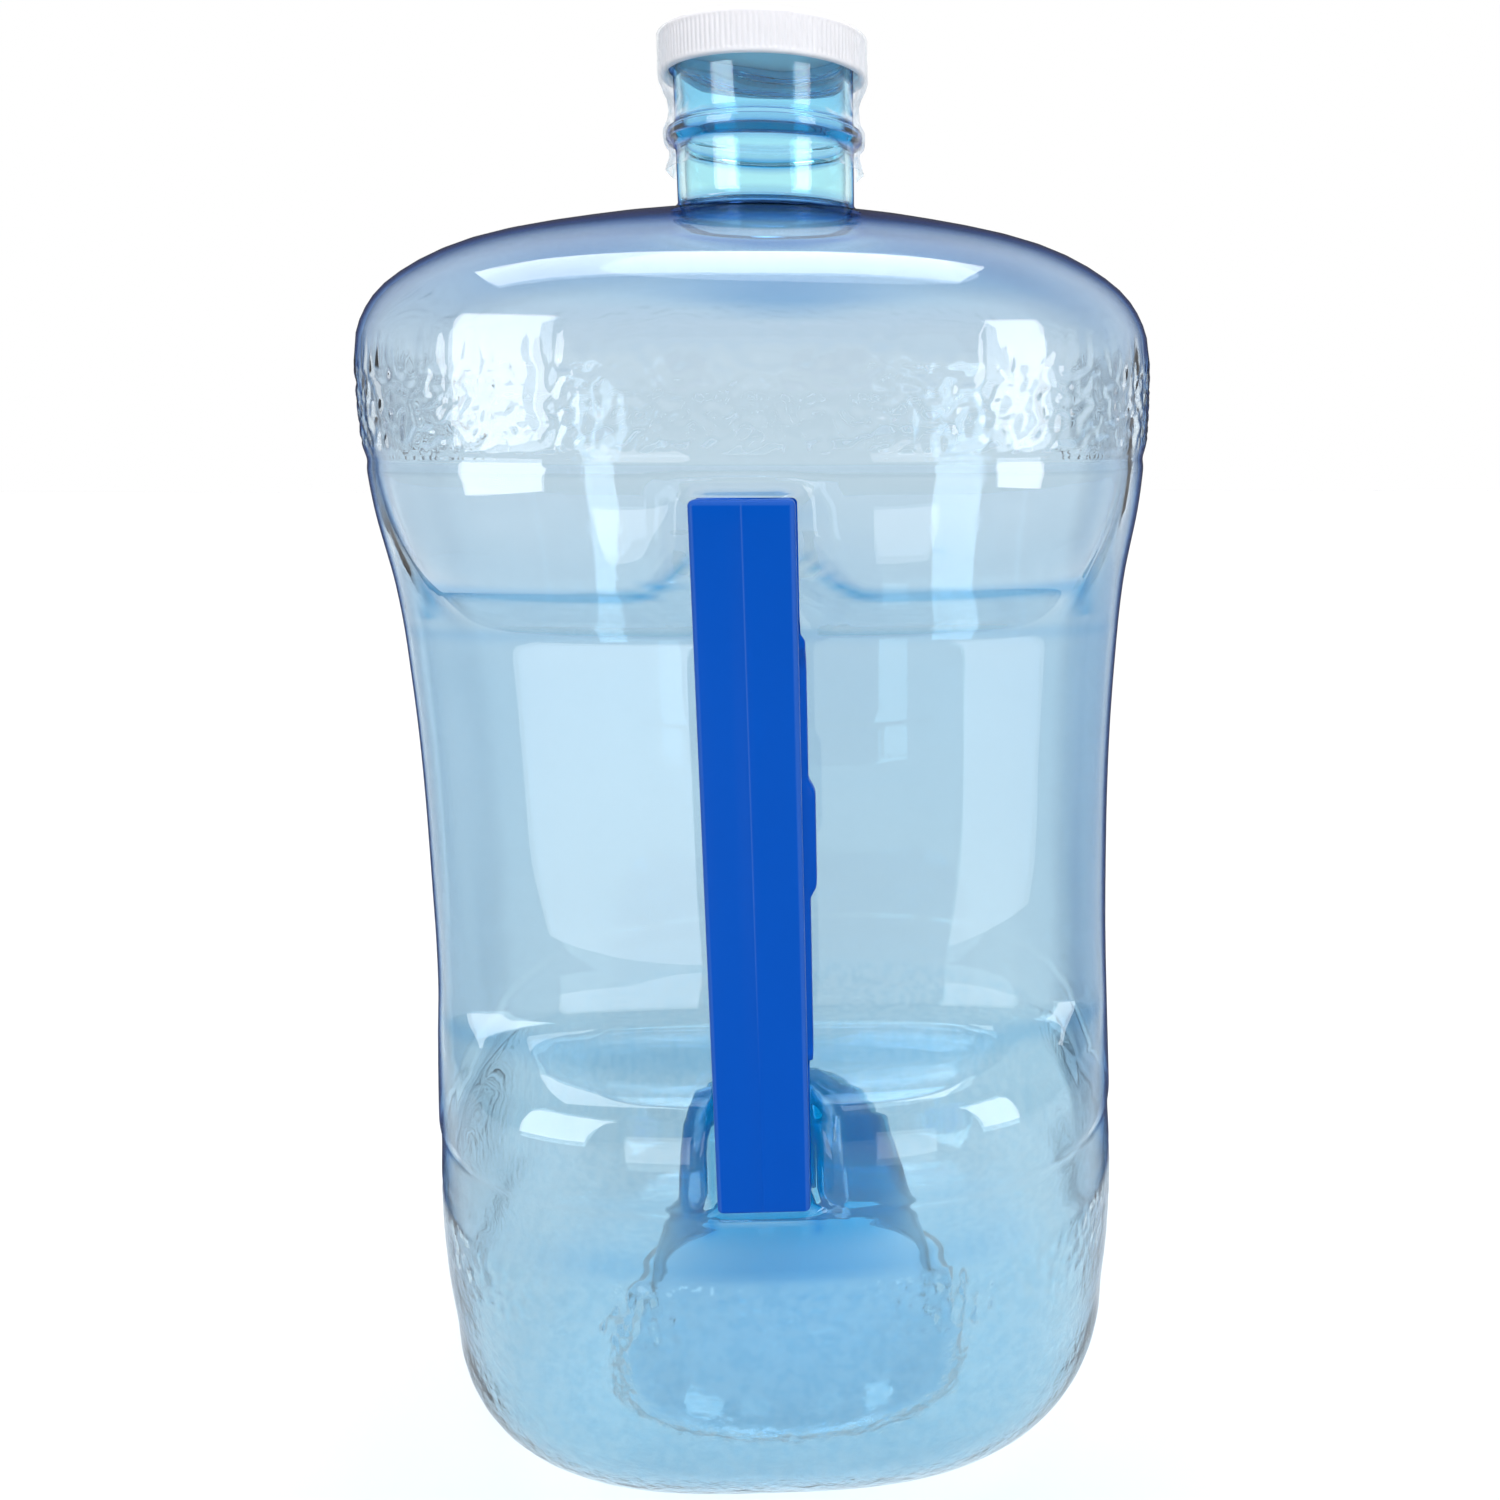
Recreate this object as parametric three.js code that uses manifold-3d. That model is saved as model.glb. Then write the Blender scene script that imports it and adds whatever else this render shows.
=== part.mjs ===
// Three-gallon water jug: a blow-moulded bottle with a hand recess, a clip-on handle bar,
// a screw cap with its sealing liner, and a clear shrink band over the closure.
// Millimetres, +Z up, handle towards -Y. The origin is the centre of the box, on the floor.
import * as THREE from 'three';
import { mergeVertices } from 'three/addons/utils/BufferGeometryUtils.js';
import Module from 'manifold-3d';

const wasm = await Module();
wasm.setup();

// ---- driving dimensions ----
const wall = 1.5; // moulded wall of the bottle
const gap = 0.3; // space between pieces that touch
const segments = 48; // points round each section of the bottle and its closure
const squareness = 2.9; // exponent of the rounded-square plan, 2 is a circle
const roundUpTo = 30; // sections smaller than this are true circles
const squareFrom = 90; // sections larger than this have the full squareness

const bell = { apexZ: 84.1, rimR: 54 }; // push-up in the base
const footOuterR = 60.7;
const cornerR = 42.6;
const lowerHalfWidth = 103.3;
const waistHalfWidth = 99.8;
const upperHalfWidth = 106;
const neckRootZ = 366;

const recess = { wallY: 66, upperZ: 252.4, upperSlope: 2.81, lowerZ: 143.8, lowerSlope: 4.7 };
const recessRound = 14; // power of the smooth minimum that rounds the recess into the sides

const neckR = 25.15;
const neckBoreR = 22.9;
const ring = { r: 27.7, z: 383.9, height: 3.4 }; // transfer ring
const rimZ = 407.2;

const pitch = 25.4 / 6; // six threads to the inch
const thread = { crestR: 26.4, turns: 1.35, bottomZ: 399.5, rootHalf: 0.8, crestHalf: 0.35 };

const cap = { r: 28.75, bottomZ: 399.3, topZ: 410.3, boreR: 27.0, topThick: 1.3, edge: 1.5 };
const capThread = { crestR: 25.75, turns: 1.1, bottomZ: thread.bottomZ + pitch / 2 };
const liner = { r: 25.6, thick: 1.2 };
const band = { thick: 0.3, topZ: 409.4, bottomZ: 374.5 };

const handle = { width: 23.4, topZ: 288.6, bottomZ: 110.2, topY: -110.8, bottomY: -104.8 };
const handleRearY = -87.3; // rear of the bar, in the hand gap
const handleEdge = 1.2; // rounding of the bar's edges
const grip = { extra: 2.8, lowZ: 192.8, highZ: 229, chamfer: 5, depth: 8 };
const topPocket = { backY: -97.6, lowZ: 258, highZ: 289.4 };
const lowPocket = { backY: -94.2, lowZ: 109.4, highZ: 141 };
const lug = { halfWidth: 5, depth: 6.5, height: 14 };

const frameShiftY = (-handle.topY - upperHalfWidth) / 2; // centres the box on the origin

// ---- solids ----
function solidFrom(positions, indices) {
  const kept = [];
  for (let i = 0; i < indices.length; i += 3) {
    const [a, b, c] = [indices[i], indices[i + 1], indices[i + 2]];
    if (a !== b && b !== c && c !== a) kept.push(a, b, c);
  }
  return new wasm.Manifold(new wasm.Mesh({
    numProp: 3,
    vertProperties: new Float32Array(positions),
    triVerts: new Uint32Array(kept),
  }));
}

function solidOf(geometry) {
  const bare = geometry.clone();
  bare.deleteAttribute('normal');
  bare.deleteAttribute('uv');
  const merged = mergeVertices(bare, 1e-4);
  return solidFrom(merged.attributes.position.array, merged.index.array);
}

function meshOf(name, solid, material) {
  const { vertProperties, triVerts } = solid.getMesh();
  const geometry = new THREE.BufferGeometry();
  geometry.setAttribute('position', new THREE.BufferAttribute(vertProperties, 3));
  geometry.setIndex(new THREE.BufferAttribute(triVerts, 1));
  geometry.computeVertexNormals();
  const mesh = new THREE.Mesh(geometry, material);
  mesh.name = name;
  return mesh;
}

function boxSolid(low, high) {
  const size = high.map((value, i) => value - low[i]);
  const box = new THREE.BoxGeometry(...size);
  box.translate(...low.map((value, i) => value + size[i] / 2));
  return solidOf(box);
}

// A closed solid through rings of equal point counts, with a fan over each end.
function loft(rings) {
  const count = rings[0].length;
  const positions = rings.flat().flatMap((p) => [p.x, p.y, p.z]);
  const indices = [];
  for (let i = 0; i < rings.length - 1; i += 1) {
    for (let j = 0; j < count; j += 1) {
      const a = i * count + j;
      const b = i * count + ((j + 1) % count);
      indices.push(a, b, b + count, a, b + count, a + count);
    }
  }
  const last = (rings.length - 1) * count;
  for (let j = 1; j < count - 1; j += 1) {
    indices.push(0, j + 1, j, last, last + j, last + j + 1);
  }
  return solidFrom(positions, indices);
}

// A closed profile of [radius, z] points turned about the Z axis.
function turned(profile) {
  const points = profile.map(([r, z]) => new THREE.Vector2(r, z));
  const geometry = new THREE.LatheGeometry(points, segments);
  geometry.rotateX(Math.PI / 2);
  return solidOf(geometry);
}

// A helical ridge of trapezoid section. Its ends taper into the wall it stands on, and its
// sections fall half-way between the corners of that wall.
function helicalRidge(rootR, crestR, startZ, turns) {
  const steps = Math.round(turns * segments);
  const sections = [];
  for (let i = 0; i <= steps; i += 1) {
    const angle = ((i + 0.5) / segments) * 2 * Math.PI;
    const z = startZ + (pitch * i) / segments;
    const lead = Math.min(1, i / 4, (steps - i) / 4);
    const crest = THREE.MathUtils.lerp(rootR, crestR, 0.15 + 0.85 * lead);
    const outline = [[rootR, -thread.rootHalf], [crest, -thread.crestHalf],
      [crest, thread.crestHalf], [rootR, thread.rootHalf]];
    if (crestR > rootR) outline.reverse();
    sections.push(outline.map(([r, dz]) => (
      new THREE.Vector3(r * Math.cos(angle), r * Math.sin(angle), z + dz)
    )));
  }
  return loft(sections);
}

// ---- bottle ----
function plan(angle, halfWidth) {
  const square = THREE.MathUtils.smoothstep(halfWidth, roundUpTo, squareFrom);
  const power = 2 + (squareness - 2) * square;
  const sum = Math.abs(Math.cos(angle)) ** power + Math.abs(Math.sin(angle)) ** power;
  return halfWidth * sum ** (-1 / power);
}

// Distance of the recess surface in front of the axis, at height z: a wall and two ledges.
function recessDepth(z) {
  const upper = (z - recess.upperZ) * recess.upperSlope;
  const lower = (recess.lowerZ - z) * recess.lowerSlope;
  return recess.wallY + Math.max(0, upper, lower);
}

function sectionRadius(angle, halfWidth, z) {
  const outer = plan(angle, halfWidth);
  const front = -Math.sin(angle);
  if (front <= 0 || halfWidth < recess.wallY || z < recess.lowerZ / 2) return outer;
  const cut = recessDepth(z) / front;
  return (outer ** -recessRound + cut ** -recessRound) ** (-1 / recessRound);
}

function bottleRing([halfWidth, z]) {
  const points = [];
  for (let j = 0; j < segments; j += 1) {
    const angle = (j / segments) * 2 * Math.PI;
    const r = sectionRadius(angle, halfWidth, z);
    points.push(new THREE.Vector3(r * Math.cos(angle), r * Math.sin(angle), z));
  }
  return points;
}

function arc(centreR, centreZ, radius, from, to, steps) {
  return Array.from({ length: steps + 1 }, (_, i) => {
    const angle = THREE.MathUtils.degToRad(THREE.MathUtils.lerp(from, to, i / steps));
    return [centreR + radius * Math.cos(angle), centreZ + radius * Math.sin(angle)];
  });
}

function smoothThrough(points, steps) {
  const curve = new THREE.SplineCurve(points.map(([r, z]) => new THREE.Vector2(r, z)));
  return curve.getPoints(steps).map((p) => [p.x, p.y]);
}

// Half-width of the bottle's side at height z, between the base corner and the shoulder.
const sideStations = [[lowerHalfWidth - 0.8, cornerR], [lowerHalfWidth + 0.4, 62],
  [lowerHalfWidth, 98], [lowerHalfWidth - 1.9, 136], [waistHalfWidth, 172],
  [waistHalfWidth, 236], [waistHalfWidth + 1.8, 264], [upperHalfWidth - 1.2, 285],
  [upperHalfWidth, 308], [upperHalfWidth - 0.1, 318]];
const sideHeights = [58, 80, 98, 118, 130, 136, 139, 142, 145, 149, 165, 200, 236, 246, 251,
  255, 260, 265, 270, 280, 296, 308];

function halfWidthAt(z) {
  const above = sideStations.findIndex(([, stationZ]) => stationZ > z);
  const at = (i) => sideStations[THREE.MathUtils.clamp(i, 0, sideStations.length - 1)];
  const [w0, z0] = at(above - 1);
  const [w1, z1] = at(above);
  const slope = (i) => (at(i + 1)[0] - at(i - 1)[0]) / (at(i + 1)[1] - at(i - 1)[1]);
  const t = (z - z0) / (z1 - z0);
  const h = z1 - z0;
  return (2 * t ** 3 - 3 * t ** 2 + 1) * w0 + (t ** 3 - 2 * t ** 2 + t) * h * slope(above - 1)
    + (3 * t ** 2 - 2 * t ** 3) * w1 + (t ** 3 - t ** 2) * h * slope(above);
}

const bellProfile = smoothThrough([[7, bell.apexZ], [18, bell.apexZ - 2.2], [29.8, 74.6],
  [36.2, 66], [38.6, 52], [45.6, 28.8], [48.6, 12], [bell.rimR, 0]], 9);
const cornerProfile = arc(footOuterR, cornerR, cornerR, -90, 0, 5)
  .map(([r, z]) => [r * (1 - 0.8 * (z / cornerR) ** 2 / lowerHalfWidth), z]);
const sideProfile = sideHeights.map((z) => [halfWidthAt(z), z]);
const shoulderProfile = smoothThrough([[upperHalfWidth - 0.1, 318], [104.4, 329],
  [97, 339.5], [80, 349.6], [54, 357.6], [32, 362], [neckR + 1.6, 364.4],
  [neckR, neckRootZ]], 10);
const outerProfile = [...bellProfile, ...cornerProfile, ...sideProfile, ...shoulderProfile];

const neckProfile = [[neckR, ring.z - ring.height / 2 - 1.2], [ring.r, ring.z - ring.height / 2],
  [ring.r, ring.z + ring.height / 2], [neckR, ring.z + ring.height / 2 + 1.2],
  [neckR, rimZ - 0.8], [neckR - 0.8, rimZ]];

// The cavity's rings: each point of the bottle's rings moved in by the wall.
function insetRings(rings) {
  const count = rings[0].length;
  return rings.map((points, i) => points.map((point, j) => {
    const before = rings[Math.max(i - 1, 0)][j];
    const after = rings[Math.min(i + 1, rings.length - 1)][j];
    const along = after.clone().sub(before);
    const round = points[(j + 1) % count].clone().sub(points[(j + count - 1) % count]);
    const normal = round.cross(along).normalize();
    return point.clone().addScaledVector(normal, -wall);
  }));
}

function makeBottle() {
  const bodyRings = outerProfile.map(bottleRing);
  const outer = loft([...bodyRings, ...neckProfile.map(bottleRing)]);
  const boreRings = [[neckBoreR, neckRootZ + 2], [neckBoreR, rimZ + 2]].map(bottleRing);
  const cavity = loft([...insetRings(bodyRings.slice(0, -1)), ...boreRings]);

  const halfPocket = handle.width / 2 + 2 * gap;
  const pocket = ({ backY, lowZ, highZ }, grow) => boxSolid(
    [-halfPocket - grow, -200, lowZ - grow],
    [halfPocket + grow, backY + grow, highZ + grow],
  );
  const lugAt = (backY, middleZ) => boxSolid(
    [-lug.halfWidth, backY - lug.depth, middleZ - lug.height / 2],
    [lug.halfWidth, backY + wall / 2, middleZ + lug.height / 2],
  );
  const ridge = helicalRidge(neckR - 0.4, thread.crestR, thread.bottomZ, thread.turns);
  const pockets = [topPocket, lowPocket];
  const shell = pockets.reduce((solid, shape) => solid.subtract(pocket(shape, 0)), outer);
  const hollow = pockets.reduce((solid, shape) => solid.subtract(pocket(shape, wall)), cavity);
  return shell.subtract(hollow).add(ridge)
    .add(lugAt(topPocket.backY, lugZ.top)).add(lugAt(lowPocket.backY, lugZ.bottom));
}

// ---- handle ----
const lugZ = { top: topPocket.highZ - 13, bottom: lowPocket.lowZ + 13 };

function makeHandle() {
  const side = new THREE.Shape([[handle.topY, handle.topZ], [handle.bottomY, handle.bottomZ],
    [lowPocket.backY - 2 * gap, handle.bottomZ], [lowPocket.backY - 2 * gap, 140],
    [handleRearY, 150], [handleRearY, 249], [topPocket.backY - 2 * gap, 261],
    [topPocket.backY - 2 * gap, handle.topZ]].map(([y, z]) => new THREE.Vector2(y, z)));
  const bar = new THREE.ExtrudeGeometry(side, {
    depth: handle.width - 2 * handleEdge,
    bevelSize: handleEdge,
    bevelThickness: handleEdge,
    bevelOffset: -handleEdge,
    bevelSegments: 2,
  });
  bar.translate(0, 0, -handle.width / 2 + handleEdge);
  const across = new THREE.Matrix4().makeBasis(
    new THREE.Vector3(0, 1, 0), new THREE.Vector3(0, 0, 1), new THREE.Vector3(1, 0, 0),
  );
  bar.applyMatrix4(across);

  const inner = handle.width / 2 - 1;
  const wide = handle.width / 2 + grip.extra;
  const pad = new THREE.Shape([[-inner, grip.lowZ], [inner, grip.lowZ],
    [wide, grip.lowZ + grip.chamfer], [wide, grip.highZ - grip.chamfer], [inner, grip.highZ],
    [-inner, grip.highZ], [-wide, grip.highZ - grip.chamfer], [-wide, grip.lowZ + grip.chamfer],
  ].map(([x, z]) => new THREE.Vector2(x, z)));
  const padBlock = new THREE.ExtrudeGeometry(pad, { depth: grip.depth, bevelEnabled: false });
  padBlock.rotateX(Math.PI / 2);
  padBlock.translate(0, handleRearY + 0.2, 0);

  const socket = (backY, middleZ) => boxSolid(
    [-lug.halfWidth - gap, backY - lug.depth - gap, middleZ - lug.height / 2 - gap],
    [lug.halfWidth + gap, backY + 1, middleZ + lug.height / 2 + gap],
  );
  return solidOf(bar).add(solidOf(padBlock))
    .subtract(socket(topPocket.backY, lugZ.top))
    .subtract(socket(lowPocket.backY, lugZ.bottom));
}

// ---- closure ----
function makeCap() {
  const underside = cap.topZ - cap.topThick;
  const shell = turned([[0, underside], [cap.boreR, underside], [cap.boreR, cap.bottomZ],
    [cap.r, cap.bottomZ], ...arc(cap.r - cap.edge, cap.topZ - cap.edge, cap.edge, 0, 90, 4),
    [0, cap.topZ]]);
  return shell.add(helicalRidge(cap.boreR + 0.4, capThread.crestR, capThread.bottomZ,
    capThread.turns));
}

function makeLiner() {
  const top = cap.topZ - cap.topThick - gap;
  return turned([[0, top - liner.thick], [liner.r, top - liner.thick], [liner.r, top],
    [0, top]]);
}

function makeBand() {
  const inside = [[27.6, band.bottomZ], [27.2, 378], [ring.r + 0.5, ring.z - 2.6],
    [ring.r + 0.5, ring.z + 2.6], [26.6, 389.5], [26.8, 393], [cap.r + 0.4, cap.bottomZ - 0.8],
    [cap.r + 0.4, band.topZ]];
  const outside = inside.map(([r, z]) => [r + band.thick, z]);
  return turned([...outside, ...inside.reverse(), outside[0]]);
}

// ---- assembly ----
const material = (colour, roughness, extra = {}) => (
  new THREE.MeshStandardMaterial({ color: colour, roughness, metalness: 0, ...extra })
);
const clearBlue = material('#a9cfe6', 0.08, { transparent: true, opacity: 0.45 });
const royalBlue = material('#0b58c6', 0.35);
const white = material('#f1f2f4', 0.45);
const foamWhite = material('#e8e8e4', 0.9);
const film = material('#f4f8fb', 0.12, { transparent: true, opacity: 0.2 });

const jug = new THREE.Group();
jug.add(
  meshOf('bottle_body', makeBottle(), clearBlue),
  meshOf('handle', makeHandle(), royalBlue),
  meshOf('screw_cap', makeCap(), white),
  meshOf('cap_liner', makeLiner(), foamWhite),
  meshOf('shrink_band', makeBand(), film),
);
jug.position.y = frameShiftY;

export default jug;
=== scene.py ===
"""Looks of the large water jug: a clear blue bottle, its bar handle, screw cap, liner and shrink band.

Shapes are worked out in millimetres in the bottle's own frame: the neck's axis is x = y = 0, the handle
is at the front, towards -y, and the floor is z = 0. place() turns them into metres in the row frame.
Positions in materials and of lamps are metres.
"""

import math

import bpy
import numpy as np
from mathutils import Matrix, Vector


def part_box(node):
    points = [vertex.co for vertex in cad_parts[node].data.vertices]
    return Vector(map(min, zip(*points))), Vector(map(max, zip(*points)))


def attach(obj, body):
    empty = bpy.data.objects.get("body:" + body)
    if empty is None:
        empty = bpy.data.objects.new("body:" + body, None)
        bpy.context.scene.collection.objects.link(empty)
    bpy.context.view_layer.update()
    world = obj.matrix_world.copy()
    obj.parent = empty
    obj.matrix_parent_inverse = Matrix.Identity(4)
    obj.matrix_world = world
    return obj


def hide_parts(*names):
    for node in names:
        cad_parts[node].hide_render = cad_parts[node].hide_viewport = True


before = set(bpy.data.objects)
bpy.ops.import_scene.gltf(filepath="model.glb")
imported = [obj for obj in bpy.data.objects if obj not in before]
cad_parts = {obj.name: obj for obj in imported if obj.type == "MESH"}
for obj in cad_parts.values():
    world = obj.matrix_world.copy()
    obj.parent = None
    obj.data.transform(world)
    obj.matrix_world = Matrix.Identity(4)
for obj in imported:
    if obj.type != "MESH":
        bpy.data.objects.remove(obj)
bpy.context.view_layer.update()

MM = 0.001
TAU = 2 * math.pi


# ---- places taken from the frame ----
def box_mm(node):
    """The lowest and highest corners of a CAD node, in millimetres."""
    return [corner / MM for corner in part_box(node)]


bottle_high = box_mm("bottle_body")[1]
handle_low, handle_high = box_mm("handle")
cap_low, cap_high = box_mm("screw_cap")
liner_low, liner_high = box_mm("cap_liner")
band_low, band_high = box_mm("shrink_band")
AXIS_Y = (cap_low.y + cap_high.y) / 2
RIM_Z = bottle_high.z

# ---- the bottle's driving sizes: z is a height, R a radius, HALF a half-width ----
WALL = 1.3
SQUARENESS = 2.9
ROUND_UP_TO, SQUARE_FROM = 30, 90
BELL_APEX = 84.1
FOOT_INNER, FOOT_OUTER = 54, 60.7
CORNER_R = 42.6
LOWER_HALF, WAIST_HALF, UPPER_HALF = 103.3, 99.8, bottle_high.x
NECK_ROOT = 366
NECK_R, BORE_R = 25.15, 22.9
RING_R, RING_Z, RING_HALF = 27.7, 383.9, 1.7

# ---- marks round the side: a groove, a low step and the dip where the frosting ends ----
GROOVE_Z, GROOVE_DEPTH, GROOVE_REACH = 296.1, 0.45, 1.7
STEP_Z, STEP_DEPTH, STEP_REACH, STEP_FADES = 108.6, 0.6, 1.8, (88, 104)
FROST_Z, FROST_DEPTH, FROST_REACH = 89.5, 0.25, 2.0

# ---- the hammered texture: two bands of leaf-shaped cells ----
UPPER_TEXTURE, LOWER_TEXTURE, TEXTURE_EDGE = (299.5, 321.5), (71.5, 87.5), 1.6
TEXTURE_CELL, TEXTURE_HEIGHT, TEXTURE_R = 3.9, 0.42, 104
CELL_JITTER, CELL_LEAN, CELL_LONG, CELL_WIDE, CELL_FLOOR = 0.38, 1.4, 0.72, 0.40, -0.2

# ---- the recess behind the handle, and the two pockets that hold the handle's ends ----
RECESS_Y, RECESS_TOP, RECESS_BOTTOM, RECESS_ROOM = 66, 252.4, 143.8, 35.5
TOP_SLOPE, TOP_ROUNDING, TOP_LEAST_SHARE = 2.81, 3.0, 0.15
BOTTOM_SLOPE, BOTTOM_ROUNDING, BOTTOM_LEAST_SHARE = 4.7, 8.0, 0.3
ARCH_RISE, ARCH_REACH, ARCH_STARTS = 9, 9, (250, 262)
EDGE_CRISPNESS, LOW_EDGE_SOFTER, EDGE_CHANGES = 14, 5, (150, 200)
POCKETS = ((97.6, 262, 289.4), (94.2, 109.4, 138))
POCKET_SIDE, POCKET_EDGE, POCKET_BLEND = (11.8, 13.6), 1, 30
FACES_FRONT = 0.02
FAR_AWAY = 1e4

# ---- the closure and its thread ----
PITCH = 25.4 / 6
THREAD_START, THREAD_TURNS, THREAD_HEIGHT, THREAD_LEAD = 399.5, 1.35, 1.25, 0.08
THREAD_FROM = 397
CAP_R = (cap_high.x - cap_low.x) / 2
CAP_BORE, CAP_THREAD_HEIGHT, CAP_PLATE, CAP_EDGE_R, CAP_DISH = 27.0, 1.2, 1.3, 1.5, 0.24
RIBS, RIB_DEPTH, POINTS_PER_RIB = 120, 0.34, 6

# ---- the handle: its front face stands out further at the top, and it clips on at both ends ----
HANDLE_HALF = 11.7
HANDLE_TOP, HANDLE_BOTTOM = handle_high.z, handle_low.z
FRONT_TOP, FRONT_BOTTOM, REAR_Y = 110.8, 104.8, 87.3
HANDLE_R, LEAST_R = 1.3, 0.5
CLIP_DEPTH, CLIP_FLANGE, BAR_FLANGE = 16, 1.5, 6.0
FLANGE_EXTRA, LEFT_EXTRA = 0.95, 0.8
GRIP_LOW, GRIP_HIGH, GRIP_EXTRA = 190.4, 220.0, 2.6
SEAM_HEIGHT = 0.16

# ---- where the blue is deeper: amount, centre and reach of each mark, then the zones they keep to ----
# Painted shade: the marks on the ledge, the recess's inner corners and the lower pocket's sides.
LEDGE_SHADE, LEDGE_ZONE = (0.75, 0.05, 0.014), (256, 276)
UPPER_CORNER_SHADE, LOWER_CORNER_SHADE, RECESS_LEAST_CUT = (0.22, 252, 1.6), (0.3, 141, 2.0), 0.6
POCKET_WALL_SHADE, POCKET_WALL_X, POCKET_WALL_REACH, POCKET_WALL_TOP, POCKET_WALL_Y = 0.85, 12.6, 1.3, 142, 88
FROST_RIM_BLUE, FROST_RIM_HALF = (0.42, 93.5, 3.8), 60
SKIRT_BLUE, DOME_BLUE, DOME_RISES, CROWN_RISES, CROWN_PALER = 0.22, 0.78, (34, 62), (79, 84), 0.65
SHOULDER_BLUE, SHOULDER_ZONE, SHOULDER_FADES = 0.3, (338, 368), (50, 98)
ARC_BLUE, ARC_FROM_Z, ARC_STARTS, ARC_ENDS = (0.5, 0, 46), 330, (48, 60), (80, 92)
ROOT_BLUE, ROOT_ZONE = (0.8, 28.5, 2.6), (358, 367)
# Painted shade: the support ring's lower half is darker.
COLLAR_BLUE, COLLAR_UNDERSIDE_SHADE, COLLAR_ZONE = 0.55, 0.45, (379, 389)
THREAD_BLUE = 0.6

# ---- how finely the bottle is divided round its axis ----
COLUMNS, FINE_COLUMNS, INNER_COLUMNS = 240, 720, 120


# ---- shared shape functions ----
def smoothstep(low, high, x):
    """0 up to low, 1 from high, eased between them."""
    t = np.clip((x - low) / (high - low), 0, 1)
    return t * t * (3 - 2 * t)


def hump(x, centre, reach):
    """1 at the centre, fading smoothly over the reach to either side."""
    return np.exp(-(((x - centre) / reach) ** 2))


def mark(x, amount, centre, reach):
    """A hump of the given height."""
    return amount * hump(x, centre, reach)


def within(x, low, high):
    return (x > low) & (x < high)


def softplus(x, width):
    """0 well below zero and x well above it, with a rounded corner of the given width."""
    return width * np.logaddexp(0, x / width)


def place(points):
    """Points in millimetres about the neck's axis, as metres in the row frame."""
    return (np.asarray(points, float) + (0, AXIS_Y, 0)) * MM


def mesh_object(name, points, faces):
    """A smooth-shaded object in the scene."""
    mesh = bpy.data.meshes.new(name)
    mesh.from_pydata([tuple(p) for p in place(points)], [], [tuple(int(i) for i in f) for f in faces])
    mesh.validate()
    mesh.update()
    mesh.polygons.foreach_set("use_smooth", [True] * len(mesh.polygons))
    made = bpy.data.objects.new(name, mesh)
    bpy.context.scene.collection.objects.link(made)
    return made


def store(made, name, values):
    """Keep a number per point under a name that the material reads."""
    layer = made.data.attributes.new(name, "FLOAT", "POINT")
    layer.data.foreach_set("value", values.astype(np.float32))


def spline(points, steps):
    """A uniform Catmull-Rom curve through the points."""
    p = np.array([points[0], *points, points[-1]], float)
    t = np.linspace(0, len(points) - 1, steps + 1)
    i = np.minimum(t.astype(int), len(points) - 2)
    u = (t - i)[:, None]
    a, b, c, d = p[i], p[i + 1], p[i + 2], p[i + 3]
    return 0.5 * (2 * b + (c - a) * u + (2 * a - 5 * b + 4 * c - d) * u**2 + (3 * b - a - 3 * c + d) * u**3)


def grid_faces(rows, columns, first=0):
    """Quads between rings of equal counts, facing out when the rings rise anticlockwise."""
    i, j = np.meshgrid(np.arange(rows - 1), np.arange(columns), indexing="ij")
    a = first + i * columns + j
    b = first + i * columns + (j + 1) % columns
    return np.stack([a, b, b + columns, a + columns], -1).reshape(-1, 4)


def end_faces(rows, columns):
    """The faces that close the first and the last ring of a stack."""
    last = (rows - 1) * columns
    return [list(range(columns))[::-1], [last + j for j in range(columns)]]


# ---- the bottle's outline, in points (half-width, z) from the push-up's top to the neck ----
BELL = [(1, BELL_APEX), (14, BELL_APEX - 1.0), (24, BELL_APEX - 5.2), (31, BELL_APEX - 11.5), (35.6, 64),
        (38.4, 52), (42.0, 38), (45.4, 26), (48.2, 14.5), (51.3, 5.6), (FOOT_INNER + 1, 1.2), (57.4, 0)]
FOOT = [(58.6, 0.0), (FOOT_OUTER - 0.6, 0.0)]
SIDE = [(LOWER_HALF - 0.8, CORNER_R), (LOWER_HALF + 0.4, 62), (LOWER_HALF, 98), (LOWER_HALF - 1.9, 136),
        (WAIST_HALF, 172), (WAIST_HALF, 236), (WAIST_HALF + 1.8, 264), (UPPER_HALF - 1.2, 285),
        (UPPER_HALF, 308), (UPPER_HALF - 0.1, 318)]
SHOULDER = [(UPPER_HALF - 0.1, 318), (104.4, 329), (97, 339.5), (80, 349.6), (54, 357.6), (32, 362),
            (NECK_R + 1.6, 364.4), (NECK_R, NECK_ROOT)]


def half_width(z):
    """Half-width of the side at height z: a smooth curve through SIDE that starts and ends upright."""
    widths, heights = (np.array(column, float) for column in zip(*SIDE))
    slopes = np.gradient(widths, heights)
    slopes[0] = slopes[-1] = 0
    i = np.clip(np.searchsorted(heights, z, side="right") - 1, 0, len(SIDE) - 2)
    h = heights[i + 1] - heights[i]
    t = (z - heights[i]) / h
    return ((2 * t**3 - 3 * t**2 + 1) * widths[i] + (t**3 - 2 * t**2 + t) * h * slopes[i]
            + (3 * t**2 - 2 * t**3) * widths[i + 1] + (t**3 - t**2) * h * slopes[i + 1])


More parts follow.
